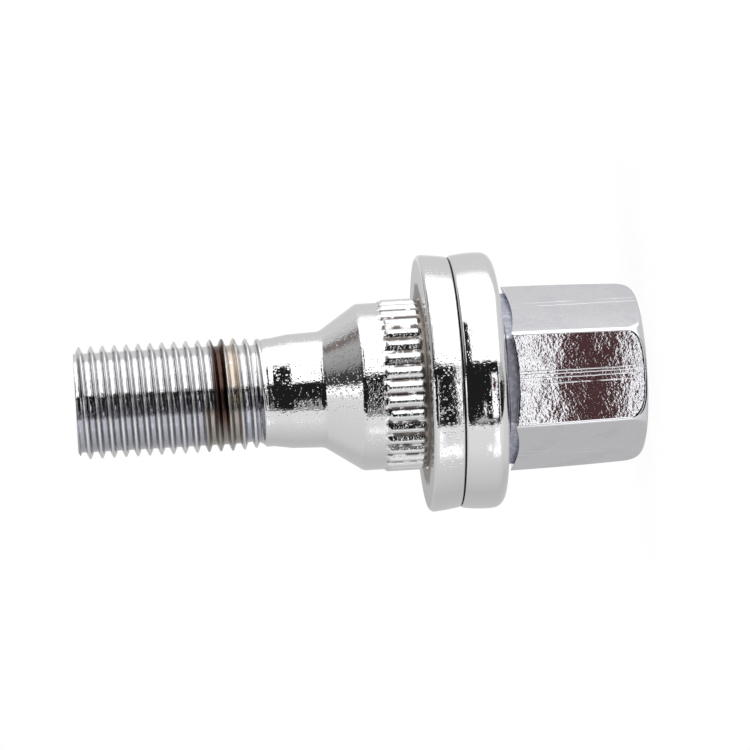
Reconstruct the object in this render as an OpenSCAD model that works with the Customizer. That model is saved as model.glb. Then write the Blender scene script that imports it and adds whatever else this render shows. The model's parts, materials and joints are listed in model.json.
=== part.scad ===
// Wheel bolt with a capped hexagon head and a captive washer.
// It stands on the flat end of its head: +Z runs from the head to the threaded tip,
// and the origin is the middle of the head's end face. Millimetres.

/* [Head] */
// Width across the flats of the head, where its cap ends
across_flats = 17; // [15:0.5:18]
// Height of the cap, from the end of the head to the corners of its rim
cap_height = 14.1; // [10:0.1:16]
// Thickness of the cap's sheet
cap_sheet = 0.6; // [0.4:0.05:1]
// Lean of each flat towards the axis, in degrees
flat_draft = 1.5; // [0:0.25:3]
// Radius of the six upright corners of the cap
cap_corner_radius = 0.5; // [0.3:0.1:1.2]
// Radius of the six upright corners of the steel hexagon under the cap
core_corner_radius = 0.5; // [0.2:0.1:1]
// Radius that rounds the corners of the head into its end face
end_radius = 1.5; // [1:0.1:2.5]
// Height at which that rounding starts on the corners
end_rounding_height = 1.6; // [1.5:0.1:3]
// Angle between the rounding and the corners where it starts
end_taper = 12; // [8:1:25]
// How far the rim of the cap stands back at the middle of a flat
rim_scallop = 0.55; // [0.2:0.05:1]
// Height of the steel hexagon that shows between the cap and the flange
bare_height = 0.5; // [0.2:0.1:1.5]

/* [Flange] */
// Diameter of the flange
flange_diameter = 27.1; // [24:0.1:30]
// Height of the flange at its edge
flange_height = 4.5; // [3.5:0.1:6]
// How far the back of the flange rises towards the hexagon
flange_rise = 0.6; // [0.2:0.1:1]
// Radius of the flange's back edge
flange_back_radius = 1.8; // [0.5:0.1:2.5]
// Radius of the flange's edge at the washer
flange_seat_radius = 0.8; // [0.1:0.05:0.8]

/* [Neck and knurl] */
// Diameter of the neck inside the washer, and of the plain land past the knurl
neck_diameter = 17.6; // [16.5:0.1:18]
// Number of ridges round the knurl
ridge_count = 36; // [24:1:44]
// How far the ridges stand out from the neck
ridge_stand = 0.25; // [0.2:0.05:0.4]
// How far the valleys between the ridges lie under the neck
valley_sink = 0.15; // [0.05:0.05:0.3]
// Radius of a ridge's rounded back
ridge_radius = 0.6; // [0.4:0.05:0.7]
// Length of the knurl
knurl_length = 4.4; // [3:0.1:6]
// Length over which the ridges rise beside the washer
knurl_lead = 0.3; // [0.2:0.05:0.6]
// Length over which the ridges fade towards the cone
knurl_fade = 0.5; // [0.4:0.1:1.2]

/* [Washer] */
// How far the washer's seating face reaches past the flange, before its edge is rounded
washer_overhang = 0.1; // [0:0.05:0.5]
// How far the washer's edge leans in towards the flange
washer_lean = 0.4; // [0:0.05:0.6]
// Thickness of the washer
washer_thickness = 3.3; // [2.5:0.1:5]
// Radial clearance between the washer's bore and the neck
washer_clearance = 0.1; // [0.06:0.01:0.14]
// Free axial travel between the washer and the knurl
washer_play = 0.25; // [0.1:0.05:0.5]
// Chamfer at both ends of the washer's bore
bore_chamfer = 0.3; // [0.3:0.05:0.6]
// Radius of the washer's edge at its seating face
washer_edge_radius = 0.5; // [0.2:0.05:0.8]
// Radius of the washer's edge beside the flange
washer_back_radius = 0.25; // [0.1:0.05:0.5]

/* [Cone and shank] */
// Length of the plain land between the knurl and the cone
land_length = 2; // [1:0.1:4]
// Length of the cone
cone_length = 4; // [3:0.1:6]
// Radius that blends the land into the cone
cone_shoulder_radius = 1; // [0.3:0.1:2]
// Radius that blends the cone into the shank
cone_foot_radius = 1.2; // [0.5:0.1:3]
// Diameter of the shank where the cone ends
shank_diameter = 12.2; // [12:0.05:12.5]
// Diameter of the shank where it starts to sink towards the thread
shank_end_diameter = 12; // [11.9:0.02:12]
// Length of the shank between the cone and the run-out of the thread
shank_length = 3.35; // [3:0.05:8]

/* [Thread] */
// Diameter over the crests of the thread
thread_diameter = 11.86; // [11.6:0.02:12]
// Distance from one crest of the thread to the next
thread_pitch = 1.25; // [1.25:0.25:1.5]
// Depth of the grooves of the thread
thread_depth = 0.73; // [0.5:0.01:0.77]
// Length of the threaded end
thread_length = 19.7; // [15:0.1:30]
// Length over which the first crests grow to the full diameter
crest_rise = 2.9; // [2:0.1:5]
// Length over which the first grooves grow to the full depth
groove_fade = 1.3; // [1:0.1:4]
// Diameter of the shank where the thread runs out
runout_diameter = 11.38; // [11.2:0.02:11.5]
// Length of the run-out, from the shank to the first crest
runout_length = 2.85; // [2.5:0.05:4]
// How far the chamfer at the tip reaches in from the crests
tip_chamfer = 0.7; // [0.3:0.1:1.2]
// Height of the chamfer at the tip
tip_chamfer_height = 0.4; // [0.2:0.1:1]

/* [Hidden] */
$fn = 96;

// Number of straight steps in a rounded corner of a turned outline
arc_steps = 6;
// Number of sides of the round corners of the hexagon
corner_sides = 32;
// Thickness of the slices that the hexagon is stretched between
slice = 0.01;
// How far a cutting body reaches past what it cuts
overshoot = 1;
// Share of the run-out over which the shank sinks; the rest of it is plain
sink_share = 0.68;
// Radius that blends the shank into the run-out
sink_start_radius = 3;
// Radius that ends the sinking of the shank
sink_foot_radius = 1.5;
// Angle between a flank of the thread and a plane across the axis
flank_angle = 30;
// Width of a crest, as a share of the pitch
crest_share = 1 / 8;
// Clearance between the flats of the steel hexagon and the inside of the cap
cap_fit = 0.02;

// Stations along the axis, from the end of the head to the tip
flange_back_z = cap_height + bare_height;
flange_edge_z = flange_back_z + flange_rise;
seat_z = flange_edge_z + flange_height;
washer_face_z = seat_z + washer_thickness;
knurl_start_z = washer_face_z + washer_play;
knurl_end_z = knurl_start_z + knurl_length;
cone_start_z = knurl_end_z + land_length;
cone_end_z = cone_start_z + cone_length;
shank_end_z = cone_end_z + shank_length;
sink_end_z = shank_end_z + runout_length * sink_share;
thread_start_z = shank_end_z + runout_length;
tip_z = thread_start_z + thread_length;

// Radii that several pieces share
neck_radius = neck_diameter / 2;
crest_radius = neck_radius + ridge_stand;
valley_radius = neck_radius - valley_sink;
thread_radius = thread_diameter / 2;
runout_radius = runout_diameter / 2;
flange_radius = flange_diameter / 2;
washer_radius = flange_radius + washer_overhang;

// The grooves of the thread: width of their root, and how many there are before the chamfer
root_width = thread_pitch * (1 - crest_share) - 2 * thread_depth * tan(flank_angle);
groove_count = floor((thread_length - tip_chamfer_height) / thread_pitch);

// Half the width across the cap's flats at a height above the end of the head
function flat_radius(z) = across_flats / 2 - (cap_height - z) * tan(flat_draft);

// Distance from the axis to the centre of a round corner, for flats that lie inset from the cap's
function corner_centre(z, inset, corner) = (flat_radius(z) - inset - corner) / cos(30);

// Distance from the axis to the outermost point of the cap's corner
function corner_reach(z) = corner_centre(z, 0, cap_corner_radius) + cap_corner_radius;

function unit(v) = v / norm(v);

// The points that round corner b, between its neighbours a and c, to radius r
function corner_arc(a, b, c, r) =
    let (
        towards_a = unit(a - b),
        towards_c = unit(c - b),
        half_angle = acos(towards_a * towards_c) / 2,
        centre = b + unit(towards_a + towards_c) * r / sin(half_angle),
        from = b + towards_a * r / tan(half_angle) - centre,
        to = b + towards_c * r / tan(half_angle) - centre,
        start = atan2(from[1], from[0]),
        turn = atan2(from[0] * to[1] - from[1] * to[0], from * to)
    )
    [for (i = [0 : arc_steps]) centre + r * [cos(start + turn * i / arc_steps), sin(start + turn * i / arc_steps)]];

function place(p) = [p[0], p[1]];

// An outline of [radius, height, rounding] corners, with each corner rounded as it says
function rounded(outline) =
    let (n = len(outline))
    [
        for (i = [0 : n - 1])
            let (p = outline[i], a = outline[(i + n - 1) % n], c = outline[(i + 1) % n])
            each p[2] > 0 ? corner_arc(place(a), place(p), place(c), p[2]) : [place(p)]
    ];

// Radius over the crests of the thread at a height
function crest_at(z) =
    runout_radius + (thread_radius - runout_radius) * min(1, (z - thread_start_z) / crest_rise);

// The outline of one groove, by the height of its middle: crest, both edges of its root, crest
function groove(middle) =
    let (
        depth = thread_depth * min(1, (middle - thread_start_z) / groove_fade),
        root = crest_at(middle) - depth,
        half_root = root_width / 2,
        half_groove = half_root + depth * tan(flank_angle)
    )
    [
        [crest_at(middle - half_groove), middle - half_groove, 0],
        [root, middle - half_root, 0],
        [root, middle + half_root, 0],
        [crest_at(middle + half_groove), middle + half_groove, 0]
    ];

// The outline of all the grooves, each midway between two crests
function thread_outline() = [
    for (i = [0 : groove_count - 1])
        each groove(thread_start_z + thread_pitch * (i + 1 / 2))
];

// A hexagon with drafted flats and round corners, from height low to height high
module drafted_hexagon(low, high, inset, corner) {
    hull()
        for (side = [0 : 5], z = [low, high - slice])
            rotate(60 * side)
                translate([corner_centre(z, inset, corner), 0, z])
                    cylinder(r = corner, h = slice, $fn = corner_sides);
}

// What the turned end of the head leaves: everything inside its round edge
module head_end_envelope() {
    top = cap_height + overshoot;
    end_corner = corner_reach(end_rounding_height) - end_rounding_height * tan(end_taper);
    rotate_extrude()
        polygon(rounded([
            [0, 0, 0],
            [end_corner, 0, end_radius],
            [end_corner + top * tan(end_taper), top, 0],
            [0, top, 0]
        ]));
}

// What the open end of the cap loses, so that its rim is scalloped
module rim_cut() {
    mid_flat = flat_radius(cap_height);
    slope = rim_scallop / (corner_reach(cap_height) - mid_flat);
    outside = across_flats;
    mid_z = cap_height - rim_scallop;
    rotate_extrude()
        polygon([
            [0, mid_z - mid_flat * slope],
            [outside, mid_z + (outside - mid_flat) * slope],
            [outside, cap_height + overshoot + outside * slope],
            [0, cap_height + overshoot + outside * slope]
        ]);
}

// The ridges of the knurl, each a round-backed rib that rises and fades at its ends
module ridges() {
    rib_centre = crest_radius - ridge_radius;
    intersection() {
        translate([0, 0, knurl_start_z])
            linear_extrude(knurl_length)
                union() {
                    circle(r = valley_radius);
                    for (i = [0 : ridge_count - 1])
                        rotate(i * 360 / ridge_count)
                            translate([rib_centre, 0])
                                circle(r = ridge_radius);
                }
        rotate_extrude()
            polygon([
                [0, knurl_start_z],
                [valley_radius, knurl_start_z],
                [crest_radius, knurl_start_z + knurl_lead],
                [crest_radius, knurl_end_z - knurl_fade],
                [valley_radius, knurl_end_z],
                [0, knurl_end_z]
            ]);
    }
}

// Everything of the bolt that is turned or rolled round: flange, neck, cone, shank and threaded end.
// The thread's grooves are rings at its pitch and of its depth, without its lead.
module turned_body() {
    hexagon_reach = corner_centre(flange_back_z, cap_sheet, core_corner_radius);
    rotate_extrude()
        polygon(rounded([
            [0, flange_back_z, 0],
            [hexagon_reach, flange_back_z, 0],
            [flange_radius, flange_edge_z, flange_back_radius],
            [flange_radius, seat_z, flange_seat_radius],
            [neck_radius, seat_z, 0],
            [neck_radius, knurl_start_z, 0],
            [valley_radius, knurl_start_z + valley_sink, 0],
            [valley_radius, knurl_end_z - valley_sink, 0],
            [neck_radius, knurl_end_z, 0],
            [neck_radius, cone_start_z, cone_shoulder_radius],
            [shank_diameter / 2, cone_end_z, cone_foot_radius],
            [shank_end_diameter / 2, shank_end_z, sink_start_radius],
            [runout_radius, sink_end_z, sink_foot_radius],
            each thread_outline(),
            [thread_radius, tip_z - tip_chamfer_height, 0],
            [thread_radius - tip_chamfer, tip_z, 0],
            [0, tip_z, 0]
        ]));
}

// The forged bolt: the steel hexagon, which stands inside the cap, and all that is turned
module bolt() {
    color("lightgray") {
        drafted_hexagon(cap_sheet, flange_edge_z, cap_sheet + cap_fit, core_corner_radius);
        turned_body();
        ridges();
    }
}

// The sheet cap that is pressed over the steel hexagon and makes the head's flats
module head_cap() {
    color("silver")
        difference() {
            intersection() {
                drafted_hexagon(0, cap_height + overshoot, 0, cap_corner_radius);
                head_end_envelope();
            }
            drafted_hexagon(cap_sheet, cap_height + 2 * overshoot, cap_sheet, core_corner_radius);
            rim_cut();
        }
}

// The loose washer, held on the neck by the knurl
module washer() {
    bore_radius = neck_radius + washer_clearance;
    color("gainsboro")
        rotate_extrude()
            polygon(rounded([
                [bore_radius + bore_chamfer, seat_z, 0],
                [washer_radius - washer_lean, seat_z, washer_back_radius],
                [washer_radius, washer_face_z, washer_edge_radius],
                [bore_radius + bore_chamfer, washer_face_z, 0],
                [bore_radius, washer_face_z - bore_chamfer, 0],
                [bore_radius, seat_z + bore_chamfer, 0]
            ]));
}

bolt();
head_cap();
washer();
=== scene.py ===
# %% [markdown]
# # A wheel bolt with a captive washer
# The bolt is forged, turned, rolled and bright plated. A sheet cap is pressed over its hexagon, and a loose
# washer turns on its neck, where a rolled knurl keeps it. The imported model gives every piece its place and
# size, so the first step loads it. Everything below is in the same frame: the head stands on the floor and
# the threaded tip points up.

# %% Load the imported model
import json
import math

import bmesh
import bpy
import numpy as np
from mathutils import Matrix, Vector


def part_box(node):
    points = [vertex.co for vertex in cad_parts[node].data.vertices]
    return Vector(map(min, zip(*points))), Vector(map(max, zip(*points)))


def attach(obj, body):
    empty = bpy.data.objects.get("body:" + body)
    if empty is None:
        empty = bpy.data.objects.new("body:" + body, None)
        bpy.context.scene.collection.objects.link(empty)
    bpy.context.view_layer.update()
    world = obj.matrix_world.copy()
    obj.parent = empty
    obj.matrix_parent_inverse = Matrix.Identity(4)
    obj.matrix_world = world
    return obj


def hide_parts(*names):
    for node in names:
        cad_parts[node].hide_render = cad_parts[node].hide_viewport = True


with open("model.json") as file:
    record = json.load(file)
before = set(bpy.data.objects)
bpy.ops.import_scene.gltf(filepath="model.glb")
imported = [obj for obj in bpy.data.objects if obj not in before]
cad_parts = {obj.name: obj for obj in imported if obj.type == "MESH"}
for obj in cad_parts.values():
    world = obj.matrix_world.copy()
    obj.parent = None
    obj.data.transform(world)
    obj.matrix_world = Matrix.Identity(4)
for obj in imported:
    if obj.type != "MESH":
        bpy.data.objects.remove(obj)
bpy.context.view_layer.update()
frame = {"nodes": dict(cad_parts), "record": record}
MM = 0.001
mounts = {m["name"]: m for m in frame["record"]["mounts"]}
print("nodes", sorted(frame["nodes"]), "mounts", sorted(mounts))

# %% [markdown]
# ## The camera
# The photograph looks along a long lens at the side of the bolt, a little from the tip's side, and the bolt
# lies across the picture. The bolt stands here, so the camera is rolled on its side instead. Its place
# follows from four angles and a distance: the tilt towards the tip, the turn round the bolt, the roll, and
# the lens.

# %% Place the camera
LENS = 207.4
SENSOR = 36.0
CAMERA_DISTANCE = 456.2 * MM
CAMERA_TILT = math.radians(4.0)
CAMERA_TURN = math.radians(1.32)
CAMERA_ROLL = math.radians(3.29)
AIM = Vector((1.19, 0.0, 27.89)) * MM


def camera_axes(tilt, turn, roll):
    """The camera's right, up and backward directions, with the tip to the left of the picture."""
    tip = Vector((0, 0, 1))
    towards = Vector((math.sin(turn), -math.cos(turn), 0))
    across = Vector((math.cos(turn), math.sin(turn), 0))
    back = towards * math.cos(tilt) + tip * math.sin(tilt)
    along = tip * math.cos(tilt) - towards * math.sin(tilt)
    right = -along * math.cos(roll) - across * math.sin(roll)
    up = across * math.cos(roll) - along * math.sin(roll)
    return right, up, back


right, up, back = camera_axes(CAMERA_TILT, CAMERA_TURN, CAMERA_ROLL)
camera = bpy.data.objects.new("camera", bpy.data.cameras.new("camera"))
camera.data.lens = LENS
camera.data.sensor_width = SENSOR
turned = Matrix((right, up, back)).transposed().to_4x4()
camera.matrix_world = Matrix.Translation(AIM + back * CAMERA_DISTANCE) @ turned
bpy.context.scene.collection.objects.link(camera)
bpy.context.scene.camera = camera
print("camera stands at", [round(x / MM, 1) for x in camera.matrix_world.translation], "mm")

# %% [markdown]
# ## The sizes of the bolt
# The solids carry the same sizes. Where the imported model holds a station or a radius, such as the washer's
# two faces or the radius of the threaded end, it is read from there. The rest are the lengths and radii
# between them.

# %% Read the stations and name the other sizes
washer_low, washer_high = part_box("washer")
bolt_low, bolt_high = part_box("bolt")
cap_low, cap_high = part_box("head_cap")
SEAT_Z = washer_low.z / MM
WASHER_FACE_Z = washer_high.z / MM
TIP_Z = bolt_high.z / MM
CAP_SHEET = bolt_low.z / MM
CAP_HEIGHT = cap_high.z / MM
THREAD_RADIUS = mounts["threaded_end"]["dims"]["r_mm"]
NECK_RADIUS = 8.8
FLANGE_RADIUS = 13.55
ACROSS_FLATS = 17.0
FLAT_DRAFT = math.radians(1.5)
CAP_CORNER = 0.5
CORE_CORNER = 0.5
CAP_FIT = 0.02
BARE_HEIGHT = 0.5
FLANGE_HEIGHT = 4.5
KNURL_START_Z = WASHER_FACE_Z + 0.25
KNURL_LENGTH = 4.4
RIDGE_COUNT = 36
LAND_LENGTH = 2.0
CONE_LENGTH = 4.0
SHANK_LENGTH = 3.35
RUNOUT_RADIUS = 5.69
THREAD_LENGTH = 20.3
FLANGE_BACK_Z = CAP_HEIGHT + BARE_HEIGHT
FLANGE_EDGE_Z = SEAT_Z - FLANGE_HEIGHT
KNURL_END_Z = KNURL_START_Z + KNURL_LENGTH
CONE_START_Z = KNURL_END_Z + LAND_LENGTH
CONE_END_Z = CONE_START_Z + CONE_LENGTH
SHANK_END_Z = CONE_END_Z + SHANK_LENGTH
THREAD_START_Z = TIP_Z - THREAD_LENGTH
print("seat", round(SEAT_Z, 2), "washer face", round(WASHER_FACE_Z, 2), "tip", round(TIP_Z, 2), "mm")

# %% [markdown]
# ## Outlines and skins
# Turned and forged pieces are made the same way here. An outline in radius and height is rounded at its
# corners, and rings of points are laid through it. A skin of quads joins ring to ring. A long straight run
# gets a point close to each end, because smooth shading would otherwise bend the reflections on a bright
# wall towards its rounded edge.

# %% Round an outline, and support its straight runs
def unit(v):
    """The same direction with a length of one."""
    return v / np.linalg.norm(v)


def rounded(outline, steps=6):
    """Rounds each [radius, height, rounding] corner of an open outline with an arc of short steps."""
    path = []
    for i, (r, z, rounding) in enumerate(outline):
        here = np.array([r, z], float)
        if rounding == 0:
            path.append(here)
            continue
        to_last = unit(np.array(outline[i - 1][:2], float) - here)
        to_next = unit(np.array(outline[i + 1][:2], float) - here)
        half = math.acos(to_last @ to_next) / 2
        centre = here + unit(to_last + to_next) * rounding / math.sin(half)
        first = here + to_last * rounding / math.tan(half) - centre
        last = here + to_next * rounding / math.tan(half) - centre
        start = math.atan2(first[1], first[0])
        turn = math.atan2(first[0] * last[1] - first[1] * last[0], first @ last)
        for k in range(steps + 1):
            angle = start + turn * k / steps
            path.append(centre + rounding * np.array([math.cos(angle), math.sin(angle)]))
    return np.array(path)


def supported(path, near=0.06, longest=0.7):
    """The same path, with a point close to each end of its straight runs and the rest evenly apart."""
    out = [path[0]]
    for a, b in zip(path[:-1], path[1:]):
        length = np.linalg.norm(b - a)
        if length > 4 * near:
            middle = length - 2 * near
            count = max(1, math.ceil(middle / longest))
            out += [a + (b - a) * (near + middle * k / count) / length for k in range(count + 1)]
        out.append(b)
    return np.array(out)


# %% Join rings of points into a skin
def ring(radius, z, angles):
    """A ring of points round the axis; the radius and the height may differ from point to point."""
    return np.stack([radius * np.cos(angles), radius * np.sin(angles), z + 0 * angles], axis=1)


def skin(rings, first_pole=None, last_pole=None, closed=False):
    """Points and faces through anticlockwise rings; a ring may have half as many points as the last."""
    points = [np.asarray(r) for r in rings]
    starts = np.cumsum([0] + [len(r) for r in points])
    faces = []
    steps = [(k, k + 1) for k in range(len(points) - 1)] + ([(len(points) - 1, 0)] if closed else [])
    for low, high in steps:
        a, b, n, m = starts[low], starts[high], len(points[low]), len(points[high])
        if n == m:
            faces += [(a + i, a + (i + 1) % n, b + (i + 1) % n, b + i) for i in range(n)]
        else:
            for i in range(m):
                faces.append((a + 2 * i, a + 2 * i + 1, b + i))
                faces.append((a + 2 * i + 1, a + (2 * i + 2) % n, b + (i + 1) % m, b + i))
    total = starts[-1]
    if first_pole is not None:
        points.append(np.array([first_pole], float))
        faces += [(total, (i + 1) % len(rings[0]), i) for i in range(len(rings[0]))]
        total += 1
    if last_pole is not None:
        points.append(np.array([last_pole], float))
        a, n = starts[len(rings) - 1], len(rings[-1])
        faces += [(total, a + i, a + (i + 1) % n) for i in range(n)]
    return np.concatenate(points), faces


def piece_from(name, parts):
    """One closed object, in metres, from skins in millimetres and from meshes; their seams are merged."""
    made = bmesh.new()
    for part in parts:
        if isinstance(part, bpy.types.Mesh):
            made.from_mesh(part)
            continue
        points, faces = part
        corners = [made.verts.new(p * MM) for p in points]
        for face in faces:
            made.faces.new([corners[i] for i in face])
    bmesh.ops.remove_doubles(made, verts=made.verts, dist=2e-6)
    bmesh.ops.dissolve_degenerate(made, edges=made.edges, dist=1e-7)
    bmesh.ops.recalc_face_normals(made, faces=made.faces)
    open_edges = sum(1 for e in made.edges if len(e.link_faces) != 2)
    triangles = sum(len(f.verts) - 2 for f in made.faces)
    mesh = bpy.data.meshes.new(name)
    made.to_mesh(mesh)
    made.free()
    mesh.shade_smooth()
    piece = bpy.data.objects.new(name, mesh)
    bpy.context.scene.collection.objects.link(piece)
    print(name, triangles, "triangles", open_edges, "open edges")
    return piece


def even_angles(count):
    """Evenly spaced angles round the axis."""
    return 2 * math.pi * np.arange(count) / count


# %% [markdown]
# ## Wiring helpers
# The materials, the light and the two Geometry Nodes trees are all built from short chains of Math nodes,
# so one small helper adds a node, sets its values and links its inputs. It works in every kind of tree.

# %% A helper that adds and links nodes
class Wiring:
    def __init__(self, tree):
        self.tree = tree

    def add(self, kind, inputs=(), **settings):
        """A node of a kind, with (name or number, value or socket) pairs for its inputs."""
        node = self.tree.nodes.new(kind)
        for key, value in settings.items():
            setattr(node, key, value)
        for key, value in inputs:
            if isinstance(value, bpy.types.NodeSocket):
                self.tree.links.new(value, node.inputs[key])
            else:
                node.inputs[key].default_value = value
        return node

    def math(self, operation, *values):
        """The result of one Math node."""
        inputs = list(enumerate(values))
        return self.add("ShaderNodeMath", inputs, operation=operation).outputs[0]

    def step(self, value, low, high, to_low=0.0, to_high=1.0, smooth=True):
        """Maps a value from one range to another, clamped, with soft or straight ends."""
        inputs = [(0, value), (1, low), (2, high), (3, to_low), (4, to_high)]
        ends = "SMOOTHSTEP" if smooth else "LINEAR"
        return self.add("ShaderNodeMapRange", inputs, interpolation_type=ends).outputs[0]

    def between(self, value, low, high, soft):
        """One between low and high, and nothing outside, with soft ends."""
        rise = self.step(value, low - soft, low + soft)
        fall = self.step(value, high - soft, high + soft, 1.0, 0.0)
        return self.math("MULTIPLY", rise, fall)


# %% [markdown]
# ## The forged hexagon and the flange
# The head of the real bolt is forged: a hexagon with slightly leaning flats grows out of a round flange
# with a barrelled edge, whose radius falls off on both sides of a crown. A hexagon can't be turned, so its
# rings are laid point by point, with a third of them on the six small corner arcs. Over the back of the
# flange they turn into even rings, which every turned surface after them shares.

# %% The outline of a drafted hexagon
def flat_radius(z):
    """Half the width across the cap's flats at a height."""
    return ACROSS_FLATS / 2 - (CAP_HEIGHT - z) * math.tan(FLAT_DRAFT)


def hexagon_plan(columns):
    """For each point round a hexagon: its corner's angle, its place on the arc, and along the flat."""
    per_corner = columns // 6
    on_arc = per_corner // 3
    on_flat = (per_corner - on_arc) // 2
    near, next_near = 0.03, 0.08
    others = on_flat - 2
    flat_shares = [near, next_near]
    flat_shares += [next_near + (1 - next_near) * (k + 1) / others for k in range(others)]
    plan = []
    for corner in range(6):
        before = [(corner * 60, -30, -s) for s in reversed(flat_shares[:-1])]
        arc = [(corner * 60, -30 + 60 * k / on_arc, 0) for k in range(on_arc + 1)]
        after = [(corner * 60, 30, s) for s in flat_shares]
        plan += before + arc + after
    return np.array(plan, float)


def hexagon_ring(plan, apothem, corner, crown=0.0):
    """Points of a hexagon with round corners, whose flats may stand out by a crown at their middles."""
    centre = (apothem - corner) / math.cos(math.pi / 6)
    middle = np.radians(plan[:, 0])
    lean = np.radians(plan[:, 1])
    side = np.abs(plan[:, 2]) * (apothem - corner) * math.tan(math.pi / 6)
    along = np.sign(plan[:, 2])
    normal = middle + lean
    out = corner + crown * (1 - (1 - np.abs(plan[:, 2])) ** 2)
    x = centre * np.cos(middle) + out * np.cos(normal) - along * side * np.sin(normal)
    y = centre * np.sin(middle) + out * np.sin(normal) + along * side * np.cos(normal)
    return x, y


# %% Rings of the hexagon, the flange and the seat
FULL = 288
full_angles = even_angles(FULL)
core_plan = hexagon_plan(FULL)
flat_reach = (flat_radius(FLANGE_BACK_Z) - CAP_SHEET - CORE_CORNER) / math.cos(math.pi / 6)
back_slope = (FLANGE_EDGE_Z - FLANGE_BACK_Z) / (FLANGE_RADIUS - flat_reach)


def back_height(radius):
    """Height of the flange's back at a radius."""
    return FLANGE_BACK_Z + np.maximum(0, radius - flat_reach) * back_slope


def core_ring(height, spread=0.0, lift=0.0):
    """A ring of the steel hexagon at a height, or, with a spread, on the fillet at its foot."""
    apothem = flat_radius(height) - CAP_SHEET - CAP_FIT + spread
    x, y = hexagon_ring(core_plan, apothem, CORE_CORNER + spread)
    z = np.full(FULL, float(height)) if spread == 0 else back_height(np.hypot(x, y)) - lift
    return np.stack([x, y, z], axis=1)


FOOT = 0.15
FOOT_STEPS = 4
head_rings = [core_ring(z) for z in (CAP_SHEET, 1.2, 7.0)]
head_rings += [core_ring(CAP_HEIGHT + above) for above in (-1.2, -0.8, -0.6, -0.4, -0.2, 0.0, 0.15)]
for k in range(FOOT_STEPS + 1):
    turn = math.radians(90 * k / FOOT_STEPS)
    spread = FOOT * (1 - math.cos(turn)) + 1e-6
    head_rings.append(core_ring(FLANGE_BACK_Z, spread, lift=FOOT * (1 - math.sin(turn))))
EVEN_RADIUS = 10.4
last = head_rings[-1]
last_angle = np.unwrap(np.arctan2(last[:, 1], last[:, 0]))
last_radius = np.hypot(last[:, 0], last[:, 1])
for share in (0.12, 0.3, 0.5, 0.75, 1.0):
    radius = last_radius + (EVEN_RADIUS - last_radius) * share
    angle = last_angle + (full_angles - last_angle) * share
    head_rings.append(ring(radius, back_height(radius), angle))

# %% Turn the flange's edge and give it its barrel
CROWN_Z = 17.0
HEAD_BARREL = 10.0
SEAT_BARREL = 13.8
BARREL_FADE = 2.0
flange_outline = supported(rounded([
    (EVEN_RADIUS, back_height(EVEN_RADIUS), 0),
    (FLANGE_RADIUS, FLANGE_EDGE_Z, 1.1),
    (FLANGE_RADIUS, SEAT_Z, 0.4),
    (NECK_RADIUS, SEAT_Z, 0),
    (NECK_RADIUS, KNURL_START_Z, 0)], steps=12), longest=0.25)
from_crown = flange_outline[:, 1] - CROWN_Z
barrel = from_crown ** 2 / 2 / np.where(from_crown < 0, HEAD_BARREL, SEAT_BARREL)
flange_outline[:, 0] -= barrel * np.clip((flange_outline[:, 0] - EVEN_RADIUS) / BARREL_FADE, 0, 1)
head_rings += [ring(r, z, full_angles) for r, z in flange_outline[1:]]
head_skin = skin(head_rings, first_pole=(0, 0, CAP_SHEET))
print("head and flange", len(head_rings), "rings of", FULL)

# %% [markdown]
# ## The knurl
# The knurl was rolled into the bolt after the washer went on, and keeps it there: 36 round-backed ridges
# that start beside the washer and fade towards the cone. A grid of points is bent round the axis by
# Geometry Nodes, and each point takes the larger of the neck's radius and the nearest ridge's, because the
# ridges then meet the neck without any cutting. The ends of real ridges are never in line, so chance moves
# each one a little, and every valley ends in a round scoop.

# %% A Geometry Nodes tree for grids that are bent round the axis
def tree_with_inputs(name, sizes):
    """An empty Geometry Nodes tree, with a named number for each size and a material after them."""
    tree = bpy.data.node_groups.new(name, "GeometryNodeTree")
    tree.interface.new_socket("Geometry", in_out="INPUT", socket_type="NodeSocketGeometry")
    for key, value in sizes.items():
        kind = "NodeSocketInt" if isinstance(value, int) else "NodeSocketFloat"
        tree.interface.new_socket(key, in_out="INPUT", socket_type=kind)
    tree.interface.new_socket("Material", in_out="INPUT", socket_type="NodeSocketMaterial")
    tree.interface.new_socket("Geometry", in_out="OUTPUT", socket_type="NodeSocketGeometry")
    wiring = Wiring(tree)
    given = wiring.add("NodeGroupInput")
    return tree, wiring, given


def grid_places(w, columns, rows):
    """A flat grid, and the column and the row that each of its points has."""
    across = w.math("ADD", columns, 1.0)
    counts = [("Vertices X", across), ("Vertices Y", rows)]
    grid = w.add("GeometryNodeMeshGrid", [("Size X", 1.0), ("Size Y", 1.0)] + counts)
    place = w.add("ShaderNodeSeparateXYZ", [(0, w.add("GeometryNodeInputPosition").outputs[0])])
    column = w.math("ROUND", w.math("MULTIPLY", w.math("ADD", place.outputs[0], 0.5), columns))
    gaps = w.math("SUBTRACT", rows, 1.0)
    row = w.math("ROUND", w.math("MULTIPLY", w.math("ADD", place.outputs[1], 0.5), gaps))
    return grid.outputs[0], column, row


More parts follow.
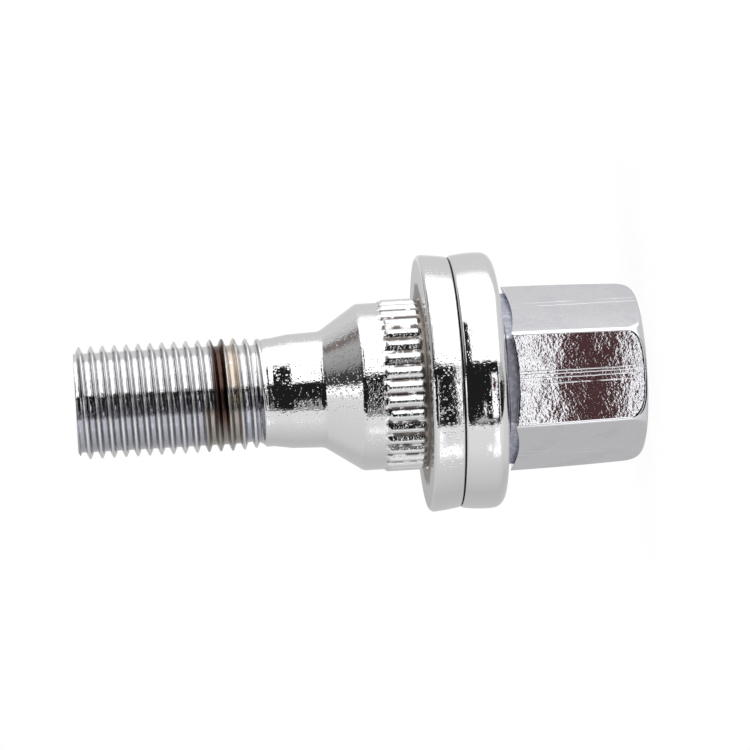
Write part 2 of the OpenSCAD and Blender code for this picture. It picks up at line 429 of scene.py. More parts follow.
def wrap_round(w, grid, radius, angle, z, material, tree):
    """Puts the grid's points at a radius, an angle and a height in millimetres, and closes the seam."""
    x = w.math("MULTIPLY", w.math("MULTIPLY", radius, w.math("COSINE", angle)), MM)
    y = w.math("MULTIPLY", w.math("MULTIPLY", radius, w.math("SINE", angle)), MM)
    spot = w.add("ShaderNodeCombineXYZ", [(0, x), (1, y), (2, w.math("MULTIPLY", z, MM))]).outputs[0]
    bent = w.add("GeometryNodeSetPosition", [("Geometry", grid), ("Position", spot)]).outputs[0]
    merged = w.add("GeometryNodeMergeByDistance", [("Geometry", bent), ("Distance", 2e-6)]).outputs[0]
    real = w.add("GeometryNodeRealizeInstances", [("Geometry", merged)]).outputs[0]
    dressed = w.add("GeometryNodeSetMaterial", [("Geometry", real), ("Material", material)]).outputs[0]
    w.add("NodeGroupOutput", [("Geometry", dressed)])


def grown(tree, sizes, material):
    """The plain mesh that a tree makes from its sizes."""
    carrier = bpy.data.objects.new(tree.name, bpy.data.meshes.new(tree.name))
    bpy.context.scene.collection.objects.link(carrier)
    modifier = carrier.modifiers.new(tree.name, "NODES")
    modifier.node_group = tree
    for socket in tree.interface.items_tree:
        if socket.in_out == "INPUT" and socket.name in sizes:
            modifier[socket.identifier] = sizes[socket.name]
        if socket.in_out == "INPUT" and socket.name == "Material":
            modifier[socket.identifier] = material
    bpy.context.view_layer.update()
    mesh = bpy.data.meshes.new_from_object(carrier.evaluated_get(bpy.context.evaluated_depsgraph_get()))
    carrier.modifiers.remove(modifier)
    bpy.data.objects.remove(carrier)
    print(tree.name, len(mesh.vertices), "points", len(mesh.polygons), "faces")
    return mesh


# %% Build the knurl's tree
plated_steel = bpy.data.materials.new("plated_steel")
knurl_sizes = {"Columns": FULL, "Rows": 37, "Start": KNURL_START_Z, "Length": KNURL_LENGTH,
               "Neck Radius": NECK_RADIUS, "Valley Sink": 0.15, "Ridge Stand": 0.25, "Fullness": 0.9,
               "Ridges": RIDGE_COUNT, "Lead": 0.3, "Fade": 0.45, "Scoop": 0.6, "Unevenness": 0.55}
knurl_tree, w, given = tree_with_inputs("knurl", knurl_sizes)
size = given.outputs
grid, column, row = grid_places(w, size["Columns"], size["Rows"])
angle = w.math("MULTIPLY", column, w.math("DIVIDE", math.tau, size["Columns"]))
share = w.math("DIVIDE", row, w.math("SUBTRACT", size["Rows"], 1.0))
from_start = w.math("MULTIPLY", share, size["Length"])
from_end = w.math("SUBTRACT", size["Length"], from_start)
z = w.math("ADD", size["Start"], from_start)
valley = w.math("SUBTRACT", size["Neck Radius"], size["Valley Sink"])
crest = w.math("ADD", size["Neck Radius"], size["Ridge Stand"])
rise = w.math("SUBTRACT", crest, valley)

# %% Shape one ridge, repeat it round the neck and fade its ends
spacing = w.math("DIVIDE", math.tau, size["Ridges"])
off_ridge = w.math("WRAP", angle, w.math("MULTIPLY", spacing, 0.5), w.math("MULTIPLY", spacing, -0.5))
ridge_number = w.math("ROUND", w.math("DIVIDE", w.math("SUBTRACT", angle, off_ridge), spacing))
ridge_number = w.math("FLOORED_MODULO", ridge_number, size["Ridges"])
wave = w.math("COSINE", w.math("MULTIPLY", off_ridge, size["Ridges"]))
wave = w.math("POWER", w.math("MULTIPLY", w.math("ADD", wave, 1.0), 0.5), size["Fullness"])
rib = w.math("ADD", valley, w.math("MULTIPLY", wave, rise))
chance = w.add("ShaderNodeTexWhiteNoise", [("W", ridge_number)], noise_dimensions="1D").outputs["Value"]
shift = w.math("MULTIPLY", chance, size["Unevenness"])
lead = w.math("DIVIDE", w.math("MULTIPLY", from_start, rise), size["Lead"])
late = w.math("MAXIMUM", w.math("SUBTRACT", from_end, shift), 0.0)
fade = w.math("DIVIDE", w.math("MULTIPLY", late, rise), size["Fade"])
envelope = w.math("MINIMUM", w.math("MINIMUM", lead, fade), rise)
ridge = w.math("MINIMUM", rib, w.math("ADD", valley, envelope))
scoop = w.math("MULTIPLY", wave, size["Scoop"])
valley_end = w.math("MAXIMUM", w.math("SUBTRACT", from_end, scoop), 0.0)
sink = w.math("MULTIPLY", w.math("MINIMUM", from_start, valley_end), 0.7)
base = w.math("SUBTRACT", size["Neck Radius"], w.math("MINIMUM", sink, size["Valley Sink"]))
radius = w.math("MAXIMUM", base, ridge)
wrap_round(w, grid, radius, angle, z, size["Material"], knurl_tree)
knurl_mesh = grown(knurl_tree, knurl_sizes, plated_steel)

# %% [markdown]
# ## The land, the cone and the shank
# Past the knurl a plain land leads into the cone, and a slim shank sinks gently to the root of the thread.
# The outline is turned as before. On the land the rings halve their points, because the thread is slim
# enough for 144.

# %% Turn the land, the cone and the shank
SHANK_RADIUS = 6.12
SHANK_END_RADIUS = 6.0
SINK_LENGTH = 1.95
FULL_RINGS = 0.9
HALF = FULL // 2
half_angles = even_angles(HALF)
neck_outline = supported(rounded([
    (NECK_RADIUS, KNURL_END_Z, 0),
    (NECK_RADIUS, CONE_START_Z, 1.0),
    (SHANK_RADIUS, CONE_END_Z, 1.2),
    (SHANK_END_RADIUS, SHANK_END_Z, 3.0),
    (RUNOUT_RADIUS, SHANK_END_Z + SINK_LENGTH, 1.5),
    (RUNOUT_RADIUS, THREAD_START_Z, 0)], steps=8), longest=0.35)
step_at = int(np.argmax(neck_outline[:, 1] > KNURL_END_Z + FULL_RINGS))
neck_rings = [ring(r, z, full_angles) for r, z in neck_outline[:step_at]]
neck_rings += [ring(r, z, half_angles) for r, z in neck_outline[step_at:]]
neck_skin = skin(neck_rings)
print("land, cone and shank", len(neck_rings), "rings")

# %% [markdown]
# ## The thread
# The thread was rolled between dies, so its crests are whole and rounded. It is one helix, and a grid suits
# it best when its rows run along the helix: sixteen rows to a pitch keep the crest, the flanks and the root
# in place all the way. Row and column give the height; points past either end are held at the end, and
# merging closes them.

# %% Build the thread's tree
PITCH = 1.25
TIP_RADIUS = 5.18
thread_sizes = {"Columns": HALF, "Rows per Pitch": 16, "Start": THREAD_START_Z, "End": TIP_Z,
                "Pitch": PITCH, "Phase": 0.734, "Crest Radius": THREAD_RADIUS, "Depth": 0.73,
                "Neck Radius": RUNOUT_RADIUS,
                "Neck Length": 3.5, "Fade Start": 0.0, "Fade Length": 1.6, "Tip Radius": TIP_RADIUS,
                "Tip Slope": 1.8}
thread_tree, w, given = tree_with_inputs("thread", thread_sizes)
size = given.outputs
length = w.math("SUBTRACT", size["End"], size["Start"])
turns = w.math("ADD", w.math("CEIL", w.math("DIVIDE", length, size["Pitch"])), 1.0)
rows = w.math("ADD", w.math("MULTIPLY", turns, size["Rows per Pitch"]), 1.0)
grid, column, row = grid_places(w, size["Columns"], rows)
angle = w.math("MULTIPLY", column, w.math("DIVIDE", math.tau, size["Columns"]))
along = w.math("SUBTRACT", w.math("DIVIDE", row, size["Rows per Pitch"]), 1.0)
along = w.math("ADD", along, w.math("DIVIDE", column, size["Columns"]))
free_z = w.math("ADD", size["Start"], w.math("MULTIPLY", along, size["Pitch"]))
z = w.math("MINIMUM", w.math("MAXIMUM", free_z, size["Start"]), size["End"])

# %% Give the thread its crest, its flanks and its root
place = w.math("SUBTRACT", w.math("DIVIDE", row, size["Rows per Pitch"]), size["Phase"])
off_crest = w.math("PINGPONG", place, 0.5)
down = w.step(off_crest, 0.02, 0.36)
from_start = w.math("SUBTRACT", z, size["Start"])
deep = w.step(w.math("SUBTRACT", from_start, size["Fade Start"]), 0.0, size["Fade Length"])
grown_to = w.step(from_start, 0.0, size["Neck Length"], smooth=False)
crest_rise = w.math("SUBTRACT", size["Crest Radius"], size["Neck Radius"])
crest = w.math("ADD", size["Neck Radius"], w.math("MULTIPLY", crest_rise, grown_to))
cut = w.math("MULTIPLY", w.math("MULTIPLY", size["Depth"], deep), down)
from_tip = w.math("MULTIPLY", w.math("SUBTRACT", size["End"], z), size["Tip Slope"])
radius = w.math("MINIMUM", w.math("SUBTRACT", crest, cut), w.math("ADD", size["Tip Radius"], from_tip))
wrap_round(w, grid, radius, angle, z, size["Material"], thread_tree)
thread_mesh = grown(thread_tree, thread_sizes, plated_steel)

# %% Close the tip and join the bolt
tip_rings = [ring(r, TIP_Z, half_angles) for r in (TIP_RADIUS, 4.2, 2.5, 1.0)]
tip_skin = skin(tip_rings, last_pole=(0, 0, TIP_Z))
bolt = piece_from("plated_bolt", [head_skin, knurl_mesh, neck_skin, thread_mesh, tip_skin])
bolt.data.materials.clear()
bolt.data.materials.append(plated_steel)

# %% [markdown]
# ## The pressed cap
# The cap is drawn from thin sheet over the steel hexagon. Its end was rounded by the tool, so each corner
# rolls in from a wider arc than each flat, and its rim is scalloped. A bevelled prism would round every
# edge alike, so each column of points gets its own outline here: the flat's line and the round end meet in
# a corner, which is softened as bent sheet softens it.

# %% The outside of the cap, column by column
CAP_COLUMNS = 360
CAP_CROWN = 0.035
CAP_SWELL = 0.06
RIM_SCALLOP = 0.55
RIM_ROUND = 0.07
RIM_REACH_Z = CAP_HEIGHT - 0.3
END_START_Z = 1.6
END_ROUNDING = 1.5
END_SLOPE = math.tan(math.radians(12))
BEYOND_RIM = 16
SOFT_BEND = 0.42
cap_plan = hexagon_plan(CAP_COLUMNS)
mid_flat = flat_radius(CAP_HEIGHT)
corner_reach = (mid_flat - CAP_CORNER) / math.cos(math.pi / 6) + CAP_CORNER
end_reach = (flat_radius(END_START_Z) - CAP_CORNER) / math.cos(math.pi / 6) + CAP_CORNER
end_corner = end_reach - END_START_Z * END_SLOPE
end_top = end_corner + BEYOND_RIM * END_SLOPE
end_line = rounded([(0, 0, 0), (end_corner, 0, END_ROUNDING), (end_top, BEYOND_RIM, 0)], steps=24)


def rim_height(radius):
    """Height of the cap's rim at a radius: lowest at the middle of a flat, highest at a corner."""
    return CAP_HEIGHT - RIM_SCALLOP + (radius - mid_flat) * RIM_SCALLOP / (corner_reach - mid_flat)


def plan_reach(apothem, corner, crown=0.0):
    """Distance from the axis and angle of each point of the cap's plan."""
    x, y = hexagon_ring(cap_plan, apothem, corner, crown)
    return np.hypot(x, y), np.arctan2(y, x)


def outside_reach(height, inward=0.0):
    """The same for the cap's outside, whose flats swell a little between the end and the rim."""
    swell = CAP_SWELL * max(0.0, 1 - (2 * height / CAP_HEIGHT - 1) ** 2)
    return plan_reach(flat_radius(height) + swell - inward, CAP_CORNER, CAP_CROWN)


heights = np.concatenate([np.linspace(0, 2.4, 161), np.linspace(2.4, BEYOND_RIM, 120)[1:]])
reach_at = np.array([outside_reach(h)[0] for h in heights])
cap_angles = outside_reach(CAP_HEIGHT / 2)[1]
end_at = np.interp(heights, end_line[:, 1], end_line[:, 0])
rim_reach = outside_reach(RIM_REACH_Z)[0]


def cap_column(i):
    """Radius and height of the outside in one column, from the end disc up to the rim's rounding."""
    side = np.minimum(end_at, reach_at[:, i])
    line = np.concatenate([[[0, 0]], np.stack([side, heights], axis=1)])
    run = np.concatenate([[0], np.cumsum(np.hypot(*np.diff(line, axis=0).T))])
    fine = np.linspace(0, run[-1], 1600)
    step = fine[1]
    path = np.stack([np.interp(fine, run, line[:, k]) for k in (0, 1)], axis=1)
    wide = int(SOFT_BEND / step)
    weights = np.hanning(2 * wide + 3)[1:-1]
    weights /= weights.sum()
    padded = np.concatenate([np.repeat(path[:1], wide, 0), path, np.repeat(path[-1:], wide, 0)])
    soft = np.stack([np.convolve(padded[:, k], weights, "valid") for k in (0, 1)], axis=1)
    soft[:wide + 2] = path[:wide + 2]
    stop = np.argmax(soft[:, 1] > rim_height(rim_reach[i]) - RIM_ROUND)
    return soft[:stop + 1]


columns = [cap_column(i) for i in range(CAP_COLUMNS)]
end_disc = np.linspace(0.0, 0.3, 6)[1:]
round_end = np.linspace(0.3, 0.56, 58)[1:]
wall = np.linspace(0.56, 0.985, 24)[1:]
outside = []
for share in (*end_disc, *round_end, *wall, 0.994, 1.0):
    spots = np.array([c[int(round(share * (len(c) - 1)))] for c in columns])
    outside.append(ring(spots[:, 0], spots[:, 1], cap_angles))
print("outside of the cap", len(outside), "rings of", CAP_COLUMNS)

# %% The rim, the inside, and the finished cap
def wall_ring(inward, below_rim):
    """A ring of the wall near the rim, so far in from the outside and so far under the rim."""
    reach, angles = outside_reach(RIM_REACH_Z, inward)
    return ring(reach, rim_height(reach) - below_rim, angles)


INNER_ROUND = 0.1
rim_rings = []
for k in range(1, 6):
    turn = math.radians(90 * k / 5)
    rim_rings.append(wall_ring(RIM_ROUND * (1 - math.cos(turn)), RIM_ROUND * (1 - math.sin(turn))))
rim_rings.append(wall_ring(CAP_SHEET / 2, 0.0))
for k in range(4):
    turn = math.radians(90 * k / 3)
    inward = CAP_SHEET - INNER_ROUND * (1 - math.sin(turn))
    rim_rings.append(wall_ring(inward, INNER_ROUND * (1 - math.cos(turn))))
for height in (12.0, 6.0, CAP_SHEET):
    reach, angles = plan_reach(flat_radius(height) - CAP_SHEET, CORE_CORNER)
    rim_rings.append(ring(reach, np.full(CAP_COLUMNS, float(height)), angles))
pressed_sheet = bpy.data.materials.new("pressed_sheet")
cap_skin = skin(outside + rim_rings, first_pole=(0, 0, 0), last_pole=(0, 0, CAP_SHEET))
cap = piece_from("pressed_cap", [cap_skin])
cap.data.materials.append(pressed_sheet)

# %% [markdown]
# ## The loose washer
# The washer is turned from bar and plated by itself, then slipped over the neck before the knurl is rolled.
# Its outline is one closed ring: a broad seating face with a rounded rim, a side that leans in towards the
# flange, and a bore with a chamfer at each end. The side is crowned by a few hundredths of a millimetre,
# because a dead straight wall mirrors in stripes, and its radius leaves that much room inside the solid's.

# %% Turn the washer
WASHER_RADIUS = FLANGE_RADIUS + 0.07
WASHER_LEAN = 0.4
WASHER_CROWN = 0.05
BORE = NECK_RADIUS + 0.1
BORE_CHAMFER = 0.3
washer_outline = rounded([
    (BORE + BORE_CHAMFER, SEAT_Z, 0),
    (WASHER_RADIUS - WASHER_LEAN, SEAT_Z, 0.25),
    (WASHER_RADIUS, WASHER_FACE_Z, 0.5),
    (BORE + BORE_CHAMFER, WASHER_FACE_Z, 0),
    (BORE, WASHER_FACE_Z - BORE_CHAMFER, 0),
    (BORE, SEAT_Z + BORE_CHAMFER, 0),
    (BORE + BORE_CHAMFER, SEAT_Z, 0)], steps=10)
washer_outline = supported(washer_outline, longest=0.5)[:-1]
side_middle = (SEAT_Z + WASHER_FACE_Z) / 2
on_side = washer_outline[:, 0] > WASHER_RADIUS - 0.7
rise = 1 - ((washer_outline[on_side, 1] - side_middle) / (WASHER_FACE_Z - side_middle)) ** 2
washer_outline[on_side, 0] += WASHER_CROWN * rise
washer_rings = [ring(r, z, full_angles) for r, z in washer_outline]
plated_washer = bpy.data.materials.new("plated_washer")
washer = piece_from("turned_washer", [skin(washer_rings, closed=True)])
washer.data.materials.append(plated_washer)

# %% [markdown]
# ## Bright plating
# Plated steel is a metal mirror with faults. Under it lie the marks of forging, rolling and turning, which
# break a reflection's edge into specks, so there are three kinds of bump: a slow ripple like orange peel,
# fine pits, and sparse round dimples. The thread has streaks along its grooves instead of dimples, because
# rolling wipes them out. The roughness wanders too, because handling dulls the plating here and there.
# Everything is worked out from Object coordinates in millimetres, so each tint can name the height or the
# radius at which it sits. Some tints are painted shade, not stains: on the thread's flanks and lower roots,
# in the knurl's valleys, beside the washer and in the gap under it. The brown band on the washer's face is a
# painted reflection of the knurl and its shade.

# %% Build a plating
class Plating:
    """A bright plating in a material: a tint, three kinds of bump, and stains, painted shade and painted
    reflections laid over them.
    """

    def __init__(self, material, tint, roughness):
        material.use_nodes = True
        material.node_tree.nodes.clear()
        self.w = w = Wiring(material.node_tree)
        place = w.add("ShaderNodeTexCoord").outputs["Object"]
        to_mm = [(0, place), (1, (1 / MM, 1 / MM, 1 / MM))]
        self.spot = w.add("ShaderNodeVectorMath", to_mm, operation="MULTIPLY").outputs[0]
        self.x, self.y, self.z = w.add("ShaderNodeSeparateXYZ", [(0, self.spot)]).outputs
        level = [(0, self.spot), (1, (1, 1, 0))]
        flat = w.add("ShaderNodeVectorMath", level, operation="MULTIPLY").outputs[0]
        self.radius = w.add("ShaderNodeVectorMath", [(0, flat)], operation="LENGTH").outputs["Value"]
        self.tint = (*tint, 1.0)
        self.roughness = w.step(self.noise(0.45, 4.0), 0.38, 0.68, *roughness)
        self.normal = None

    def noise(self, per_mm, detail=2.0, stretch=(1, 1, 1)):
        """A noise with so many blotches to a millimetre, which may be stretched along an axis."""
        place = self.spot
        if stretch != (1, 1, 1):
            place = self.w.add("ShaderNodeMapping", [("Vector", place), ("Scale", stretch)]).outputs[0]
        inputs = [("Vector", place), ("Scale", per_mm), ("Detail", detail)]
        return self.w.add("ShaderNodeTexNoise", inputs).outputs["Fac"]

    def dimples(self, per_mm, rarity):
        """Round dimples: one at most places, and zero at the middle of the cells that chance picks."""
        w = self.w
        cells = w.add("ShaderNodeTexVoronoi", [("Vector", self.spot), ("Scale", per_mm)])
        chance = w.add("ShaderNodeSeparateXYZ", [(0, cells.outputs["Color"])]).outputs[0]
        bowl = w.step(cells.outputs["Distance"], 0.1, 0.5, 1.0, 0.0)
        return w.math("SUBTRACT", 1.0, w.math("MULTIPLY", bowl, w.step(chance, rarity, rarity + 0.1)))

    def bump(self, height, depth, strength=None):
        """Presses a height pattern into the surface, so many millimetres deep, and weaker by a mask."""
        if strength is not None:
            height = self.w.math("MULTIPLY", height, strength)
        inputs = [("Strength", 1.0), ("Distance", depth * MM), ("Height", height)]
        if self.normal:
            inputs.append(("Normal", self.normal))
        self.normal = self.w.add("ShaderNodeBump", inputs).outputs[0]

    def stain_or_shade(self, where, tint, roughness=None):
        """Mixes a tint, and a roughness, over what is there by a mask."""
        inputs = [(0, where), (6, self.tint), (7, (*tint, 1.0))]
        self.tint = self.w.add("ShaderNodeMix", inputs, data_type="RGBA").outputs[2]
        if roughness is not None:
            inputs = [(0, where), (2, self.roughness), (3, roughness)]
            self.roughness = self.w.add("ShaderNodeMix", inputs, data_type="FLOAT").outputs[0]

    def finish(self):
        """Wires the shader."""
        inputs = [("Base Color", self.tint), ("Roughness", self.roughness), ("Normal", self.normal)]
        shader = self.w.add("ShaderNodeBsdfPrincipled", [("Metallic", 1.0)] + inputs)
        self.w.add("ShaderNodeOutputMaterial", [("Surface", shader.outputs[0])])


# %% Plate the forged and rolled bolt
FLANK_RADII = (5.38, 5.66)
ROOT_RADII = (5.55, 5.30)
steel = Plating(plated_steel, (0.80, 0.80, 0.81), (0.02, 0.05))
w = steel.w
bare = w.math("MULTIPLY", w.between(steel.z, 9.0, FLANGE_BACK_Z + 0.22, 0.03), w.step(steel.radius, 9.9, 9.6))
steel.stain_or_shade(bare, (0.45, 0.46, 0.53), 0.40)
steel.stain_or_shade(w.math("MULTIPLY", bare, w.step(steel.noise(2.0, 3.0), 0.45, 0.62)), (0.62, 0.63, 0.72), 0.35)
in_thread = w.step(steel.z, THREAD_START_Z + 0.4, THREAD_START_Z + 1.2)
# Painted shade: the flanks of the thread are tinted dark, for the shade that falls between neighbouring
# turns.
flank_painted_shade = w.math("MULTIPLY", in_thread, w.between(steel.radius, *FLANK_RADII, 0.07))
steel.stain_or_shade(w.math("MULTIPLY", flank_painted_shade, 0.9), (0.17, 0.17, 0.20), 0.04)
# Painted shade: the roots of the thread are tinted grey, on the lower side of the bolt only.
below = w.step(steel.x, 0.6, -0.8)
lower_root_painted_shade = w.math("MULTIPLY", w.math("MULTIPLY", in_thread, below), w.step(steel.radius, *ROOT_RADII))
steel.stain_or_shade(w.math("MULTIPLY", lower_root_painted_shade, 0.85), (0.46, 0.46, 0.52), 0.06)
# Painted shade: the knurl's valleys are tinted near black, broken up by a noise.
in_knurl = w.between(steel.z, KNURL_START_Z, KNURL_END_Z - 0.3, 0.1)
knurl_valley_painted_shade = w.math("MULTIPLY", in_knurl, w.step(steel.radius, 8.82, 8.68))
steel.stain_or_shade(w.math("MULTIPLY", knurl_valley_painted_shade, w.step(steel.noise(1.1), 0.38, 0.55)), (0.13, 0.11, 0.10), 0.2)
# Painted shade: the neck between the washer and the knurl is tinted brown, and the washer's face mirrors it.
painted_shade_beside_washer = w.between(steel.z, WASHER_FACE_Z - 0.6, KNURL_START_Z + 0.2, 0.15)
steel.stain_or_shade(painted_shade_beside_washer, (0.33, 0.30, 0.27), 0.4)
# Painted shade: the bolt at the gap under the washer, from just below the seat to half a millimetre above it,
# is tinted near black.
gap_painted_shade = w.between(steel.z, SEAT_Z - 0.09, SEAT_Z + 0.5, 0.05)
steel.stain_or_shade(gap_painted_shade, (0.14, 0.13, 0.13), 0.5)

# %% Let the run-out of the thread rust a little
DULL_BAND = (42.3, 46.3)
TAN_BAND = (42.3, 43.5)
RUST_BAND = (43.75, 45.15)
lower_side = w.step(steel.x, -0.5, -1.5)
upper_side = w.step(steel.x, -1.5, -0.5)
patchy = w.step(steel.noise(0.9, 3.0), 0.30, 0.46)
dull = w.math("MULTIPLY", w.between(steel.z, *DULL_BAND, 0.3), lower_side)
steel.stain_or_shade(w.math("MULTIPLY", dull, 0.85), (0.38, 0.35, 0.31), 0.2)
tan = w.math("MULTIPLY", w.between(steel.z, *TAN_BAND, 0.25), upper_side)
steel.stain_or_shade(w.math("MULTIPLY", tan, patchy), (0.62, 0.55, 0.48), 0.2)
rust = w.math("MULTIPLY", w.between(steel.z, *RUST_BAND, 0.12), w.step(steel.x, -5.0, -2.0))
steel.stain_or_shade(rust, (0.10, 0.06, 0.048), 0.22)

# %% Give the bolt its ripple, pits and dimples
rolled = w.step(steel.z, 20.0, 23.0, 0.3, 1.0)
steel.bump(steel.noise(1.3), 0.022, rolled)
steel.bump(steel.noise(5.0, 3.0), 0.010, rolled)
steel.bump(steel.dimples(3.6, 0.45), 0.014, w.math("SUBTRACT", rolled, in_thread))
on_grooves = w.math("MULTIPLY", in_thread, w.step(steel.z, TIP_Z - 0.03, TIP_Z - 0.15))
steel.bump(steel.noise(2.8, 2.0, stretch=(0.35, 0.35, 1.0)), 0.03, on_grooves)
steel.finish()
print("plated steel has", len(w.tree.nodes), "nodes")

# %% Plate the pressed cap, with the lines that the drawing tool left
sheet = Plating(pressed_sheet, (0.79, 0.79, 0.82), (0.01, 0.03))
w = sheet.w
sheet.stain_or_shade(w.step(sheet.noise(0.35), 0.50, 0.58, 0.0, 0.45), (0.71, 0.71, 0.75))
sheet.stain_or_shade(w.step(sheet.noise(6.0, 3.0), 0.50, 0.66, 0.0, 0.5), (0.66, 0.66, 0.70))
swaying = w.math("ADD", sheet.x, w.math("MULTIPLY", sheet.noise(0.8), 0.12))
LINES_AT = (7.95, 7.62, 0.85, 0.55, 0.15, -0.45, -7.65, -8.0)
lines = 0.0
for place in LINES_AT:
    line = w.between(swaying, place - 0.03, place + 0.03, 0.05)
    lines = w.math("ADD", lines, line)
lines = w.math("MULTIPLY", lines, w.step(sheet.noise(1.1, 2.0, stretch=(1, 1, 0.2)), 0.3, 0.6))
sheet.stain_or_shade(w.math("MULTIPLY", lines, 0.6), (0.95, 0.95, 0.97))
sheet.bump(lines, 0.008)
sheet.bump(sheet.noise(0.3), 0.020)
sheet.bump(sheet.noise(1.3), 0.003)
sheet.bump(sheet.noise(3.7, 2.0), 0.0047)
sheet.finish()
print("plated sheet has", len(LINES_AT), "drawing lines and", len(w.tree.nodes), "nodes")

# %% Plate the turned washer
turned = Plating(plated_washer, (0.80, 0.80, 0.81), (0.02, 0.05))
w = turned.w
# Painted reflection and shade: the inner part of the face beside the knurl is tinted brown, with a wandering
# edge, for the knurl and its shade that the face mirrors.
wandering = w.math("MULTIPLY", w.math("SUBTRACT", turned.noise(0.5), 0.5), 1.6)
inner = w.step(w.math("ADD", turned.radius, wandering), 10.9, 10.2)
face_painted_reflection = w.math("MULTIPLY", inner, w.step(turned.z, WASHER_FACE_Z - 0.2, WASHER_FACE_Z - 0.05))
turned.stain_or_shade(face_painted_reflection, (0.36, 0.33, 0.30), 0.4)
# Painted shade: the washer's seating face, next to the flange, is tinted near black.
turned.stain_or_shade(w.step(turned.z, SEAT_Z + 0.14, SEAT_Z + 0.05), (0.14, 0.13, 0.13), 0.5)
turned.bump(turned.noise(1.3), 0.012)
turned.bump(turned.noise(5.0, 3.0), 0.005)
turned.bump(turned.dimples(3.6, 0.55), 0.012)
turned.finish()
print("plated washer has", len(w.tree.nodes), "nodes")

# %% [markdown]
# ## The light
# A mirror shows its surroundings, so the studio itself is what gives this bolt its look: white above, pale
# grey below and behind, and a dark opening round the camera. Lamps would give only small hot spots, so the
# studio is the world. It is built as rings round the bolt's axis, because the bolt is round: the angle
# about that axis picks the brightness, with one set of levels for the sides and one for each end. The
# camera sees plain white instead.

# %% Build the studio as a world
scene = bpy.context.scene
world = bpy.data.worlds.new("studio")
scene.world = world
world.use_nodes = True
world.node_tree.nodes.clear()
w = Wiring(world.node_tree)
direction = w.add("ShaderNodeTexCoord").outputs["Generated"]
ray = w.add("ShaderNodeSeparateXYZ", [(0, direction)])
sideways, away, along = ray.outputs[0], ray.outputs[1], ray.outputs[2]
turn = w.math("ARCTAN2", sideways, w.math("MULTIPLY", away, -1.0))
turn = w.math("MULTIPLY", turn, 180 / math.pi)
fraction = w.math("DIVIDE", w.math("ADD", turn, 180.0), 360.0)


def lit_round(stops):
    """Brightness by the angle about the bolt's axis, from (angle, brightness) stops."""
    node = w.add("ShaderNodeValToRGB", [(0, fraction)])
    elements = node.color_ramp.elements
    while len(elements) < len(stops):
        elements.new(0.5)
    for element, (angle, level) in zip(elements, stops):
        element.position = (angle + 180) / 360
        element.color = (level / 2, level / 2, level / 2, 1)
    return w.math("MULTIPLY", node.outputs[0], 2.0)


sides = lit_round([(-180, 0.60), (-178, 0.45), (-172, 0.60), (-120, 0.57), (-85, 0.72), (-62, 0.85),
                   (-45, 0.86), (-38, 1.0), (15, 1.0), (20, 1.5), (60, 1.6), (109, 1.45), (119, 0.76),
                   (160, 0.68), (177, 0.84), (180, 0.60)])
tip_end = lit_round([(-180, 0.62), (-90, 0.75), (-22, 0.85), (-16, 1.3), (5, 1.3), (9, 0.05), (41, 0.06),
                     (46, 0.25), (75, 0.42), (92, 0.46), (97, 0.22), (108, 0.24), (113, 0.6), (150, 0.62),
                     (158, 0.25), (172, 0.25), (178, 0.62)])
head_end = lit_round([(-180, 0.70), (-90, 0.75), (-45, 0.8), (-35, 0.12), (-12, 0.1), (0, 0.35), (15, 0.45),
                      (40, 0.8), (120, 0.75), (180, 0.70)])
toward_tip = w.step(along, 0.42, 0.58)
toward_head = w.step(along, -0.80, -0.64, 1.0, 0.0)
studio = w.add("ShaderNodeMix", [(0, toward_tip), (2, sides), (3, tip_end)], data_type="FLOAT").outputs[0]
studio = w.add("ShaderNodeMix", [(0, toward_head), (2, studio), (3, head_end)], data_type="FLOAT").outputs[0]
print("the studio has", len(w.tree.nodes), "nodes")

# %% [markdown]
# ## Cards
# A photographer hangs dark and bright cards round a mirror to draw its form. Each card here has a range of
# angles about the bolt's axis, a range along it, the softness of its edges and a colour. Card objects would
# each need to be hidden from the camera, so they are masks in the world. A noise makes the edges of most of
# them uneven, as they look in a wavy mirror. The two for the cap's middle flat are left straight, because a
# flat mirror shows so narrow a part of the studio that the noise would fill it.

# %% Hang cards in the studio, dark and bright
blotches = w.add("ShaderNodeTexNoise", [("Vector", direction), ("Scale", 14.0), ("Detail", 3.0)])
uneven = w.add("ShaderNodeSeparateXYZ", [(0, blotches.outputs["Color"])]).outputs
card_turn = w.math("ADD", turn, w.math("MULTIPLY", w.math("SUBTRACT", uneven[0], 0.5), 12.0))
card_along = w.math("ADD", along, w.math("MULTIPLY", w.math("SUBTRACT", uneven[1], 0.5), 0.06))
DARK = (0.015, 0.015, 0.015, 1)
GREY = (0.5, 0.5, 0.5, 1)
BRIGHT = (1.3, 1.3, 1.3, 1)
BROWN = (0.085, 0.04, 0.04, 1)
UMBER = (0.23, 0.19, 0.175, 1)
cards = [((-39, 18), (-0.385, 0.80), (1.5, 0.02), DARK),
         ((-33, 8), (-0.46, -0.385), (2.0, 0.01), BRIGHT),
         ((-39, 0), (-0.88, -0.46), (2.0, 0.02), DARK),
         ((0, 18), (-0.88, -0.46), (2.0, 0.02), GREY),
         ((-36, -32), (-0.20, 0.12), (1.0, 0.05), GREY),
         ((-72, -60), (-0.36, -0.12), (2.0, 0.02), BRIGHT),
         ((-60, -43), (-0.25, -0.15), (2.0, 0.02), BRIGHT),
         ((-66, -58), (-0.09, -0.05), (2.0, 0.01), BRIGHT),
         ((-30, -20), (-0.02, 0.01), (3.0, 0.01), BRIGHT),
         ((95, 109), (0.60, 0.97), (2.0, 0.02), UMBER),
         ((10, 58), (0.16, 0.36), (3.0, 0.02), DARK)]
flat_cards = [((-32, 7), (-0.23, -0.118), (1.0, 0.005), BRIGHT),
              ((-8, 3), (-0.206, -0.147), (1.0, 0.002), BROWN)]
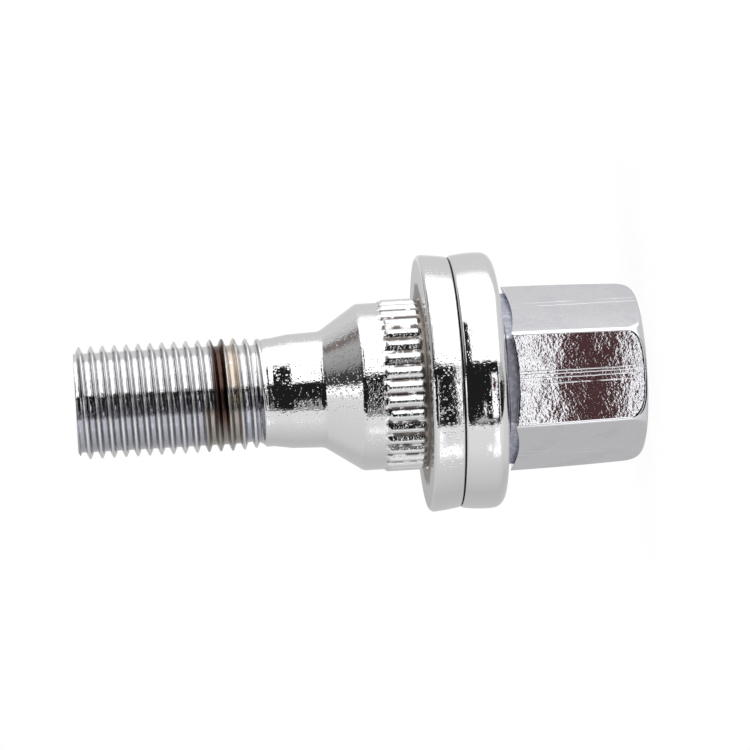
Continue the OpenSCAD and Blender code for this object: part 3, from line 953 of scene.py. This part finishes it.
for hung, at_turn, at_along in ((cards, card_turn, card_along), (flat_cards, turn, along)):
    for turns, reach, edge, colour in hung:
        in_turns = w.between(at_turn, *turns, edge[0])
        inside = w.math("MULTIPLY", in_turns, w.between(at_along, *reach, edge[1]))
        inputs = [(0, inside), (6, studio), (7, colour)]
        studio = w.add("ShaderNodeMix", inputs, data_type="RGBA").outputs[2]
print("hung", len(cards) + len(flat_cards), "cards")

# %% Show the camera plain white instead
path = w.add("ShaderNodeLightPath").outputs
seen = w.math("ADD", path["Is Camera Ray"], path["Is Transmission Ray"])
shown = w.add("ShaderNodeMix", [(0, seen), (6, studio), (7, (1, 1, 1, 1))], data_type="RGBA").outputs[2]
background = w.add("ShaderNodeBackground", [("Color", shown), ("Strength", 1.0)])
w.add("ShaderNodeOutputWorld", [("Surface", background.outputs[0])])

# %% [markdown]
# ## The floor
# The floor is a plain pale sheet. The camera sees it white, darker only where the bolt keeps the light off
# it. The plating would mirror its far edge as a hard line, so the floor lets glossy rays through to the
# studio, which is about as pale below as the floor is.

# %% Lay the floor
REACH = 3.0
corners = [(-REACH, -REACH, 0), (REACH, -REACH, 0), (REACH, REACH, 0), (-REACH, REACH, 0)]
floor_mesh = bpy.data.meshes.new("floor")
floor_mesh.from_pydata(corners, [], [(0, 1, 2, 3)])
floor = bpy.data.objects.new("floor", floor_mesh)
scene.collection.objects.link(floor)
pale = bpy.data.materials.new("pale_floor")
pale.use_nodes = True
pale.node_tree.nodes.clear()
w = Wiring(pale.node_tree)
path = w.add("ShaderNodeLightPath")
cloth = w.add("ShaderNodeBsdfDiffuse", [("Color", (0.3, 0.3, 0.3, 1))]).outputs[0]
seen_glow = w.math("MULTIPLY", path.outputs["Is Camera Ray"], 0.84)
glow = w.add("ShaderNodeEmission", [("Strength", seen_glow)]).outputs[0]
lit = w.add("ShaderNodeAddShader", [(0, cloth), (1, glow)]).outputs[0]
through = w.add("ShaderNodeBsdfTransparent").outputs[0]
glossy = path.outputs["Is Glossy Ray"]
laid = w.add("ShaderNodeMixShader", [(0, glossy), (1, lit), (2, through)]).outputs[0]
w.add("ShaderNodeOutputMaterial", [("Surface", laid)])
floor.data.materials.append(pale)
print("floor reaches", REACH, "m each way")

# %% [markdown]
# ## Riding on the bodies
# Each piece rides on the empty of the body that carries it, and the imported solid of the same part is
# hidden. The washer has a body of its own.

# %% Let the pieces ride, and hide the imported solids
scene.view_settings.view_transform = "Standard"
for piece, node, body, finish in ((bolt, "bolt", "bolt_body", "plated_steel"),
                                  (cap, "head_cap", "bolt_body", "plated_sheet"),
                                  (washer, "washer", "loose_washer", "plated_washer")):
    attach(piece, body)
    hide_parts(node)
